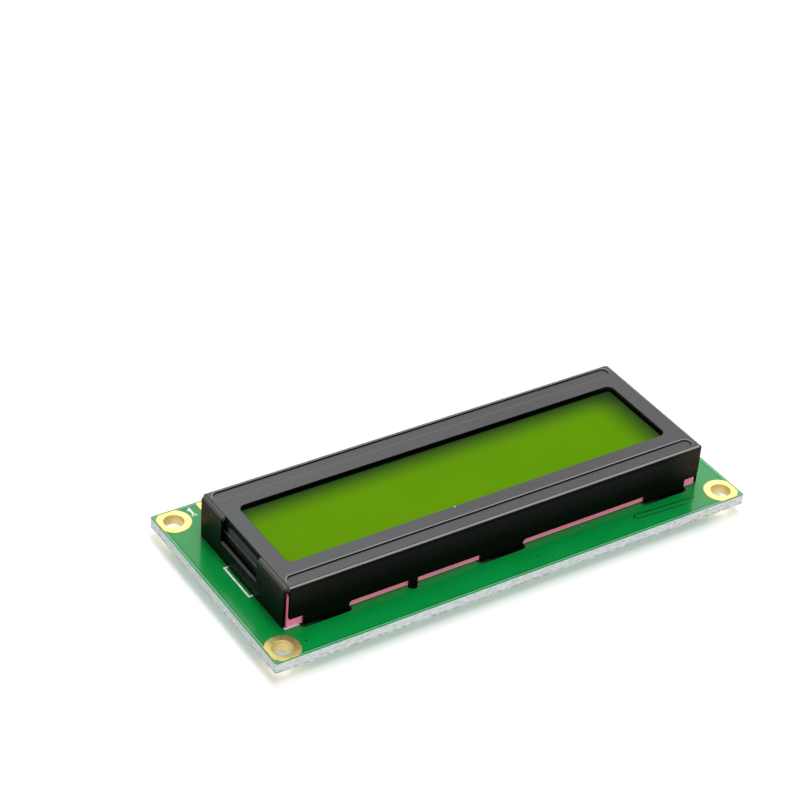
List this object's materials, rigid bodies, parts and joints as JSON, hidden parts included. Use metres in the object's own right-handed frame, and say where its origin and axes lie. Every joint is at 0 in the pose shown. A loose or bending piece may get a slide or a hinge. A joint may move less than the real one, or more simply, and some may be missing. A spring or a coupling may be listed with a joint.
{
  "type": "character lcd module",
  "caption": "Character LCD module: green circuit board carrying a black folded steel bezel round a yellow-green display, with a row of plated header holes and corner mounting holes.",
  "frame": {"origin": "below the middle of the board, on the plane of the six lug ends that the module rests on", "axes": "+X along the board's length, with header hole 1 at -X; +Y towards the header edge; +Z out of the display's face"},
  "size_m": [0.08, 0.036, 0.0103],
  "materials": {
    "solder_mask": "green solder mask over glass epoxy, glossy",
    "gold_plate": "pale gold flash over copper",
    "black_coat": "black coat on folded steel sheet, satin",
    "display_film": "yellow-green reflective display film, smooth",
    "cell_glass": "clear soda-lime glass",
    "seal_resin": "dark glossy epoxy",
    "pink_elastomer": "pink silicone",
    "white_film": "white diffusing film",
    "light_acrylic": "clear moulded acrylic",
    "white_plastic": "white moulded plastic",
    "lamp_laminate": "white masked laminate",
    "lamp_resin": "pale yellow lamp resin",
    "tinned_metal": "tinned copper, dull bright",
    "silicon": "polished silicon",
    "glob_resin": "black cured resin, matt",
    "chip_ceramic": "black overglaze on alumina, tinned ends",
    "solder": "bright solder"
  },
  "bodies": {
    "root": {"circuit_board": "solder_mask", "mount_ring_1": "gold_plate", "mount_ring_2": "gold_plate", "mount_ring_3": "gold_plate", "mount_ring_4": "gold_plate", "header_pad_1": "gold_plate", "header_pad_2": "gold_plate", "header_pad_3": "gold_plate", "header_pad_4": "gold_plate", "header_pad_5": "gold_plate", "header_pad_6": "gold_plate", "header_pad_7": "gold_plate", "header_pad_8": "gold_plate", "header_pad_9": "gold_plate", "header_pad_10": "gold_plate", "header_pad_11": "gold_plate", "header_pad_12": "gold_plate", "header_pad_13": "gold_plate", "header_pad_14": "gold_plate", "header_pad_15": "gold_plate", "header_pad_16": "gold_plate", "lug_pad_1": "gold_plate", "lug_pad_2": "gold_plate", "lug_pad_3": "gold_plate", "lug_pad_4": "gold_plate", "lug_pad_5": "gold_plate", "lug_pad_6": "gold_plate", "spare_pads": "gold_plate", "jumper_pads": "gold_plate", "lamp_pads": "gold_plate", "bezel": "black_coat", "front_polariser": "display_film", "rear_polariser": "display_film", "front_glass": "cell_glass", "rear_glass": "cell_glass", "perimeter_seal": "seal_resin", "end_seal": "seal_resin", "zebra_strip_front": "pink_elastomer", "zebra_strip_rear": "pink_elastomer", "diffuser_film": "white_film", "light_guide": "light_acrylic", "reflector_tray": "white_plastic", "lamp_board": "lamp_laminate", "lamps": "lamp_resin", "lamp_lead_1": "tinned_metal", "lamp_lead_2": "tinned_metal", "controller_die": "silicon", "driver_die": "silicon", "controller_blob": "glob_resin", "driver_blob": "glob_resin", "resistor_1": "chip_ceramic", "resistor_2": "chip_ceramic", "resistor_3": "chip_ceramic", "resistor_4": "chip_ceramic", "resistor_5": "chip_ceramic", "resistor_6": "chip_ceramic", "resistor_7": "chip_ceramic", "resistor_8": "chip_ceramic", "solder_joints": "solder"}
  },
  "joints": []
}
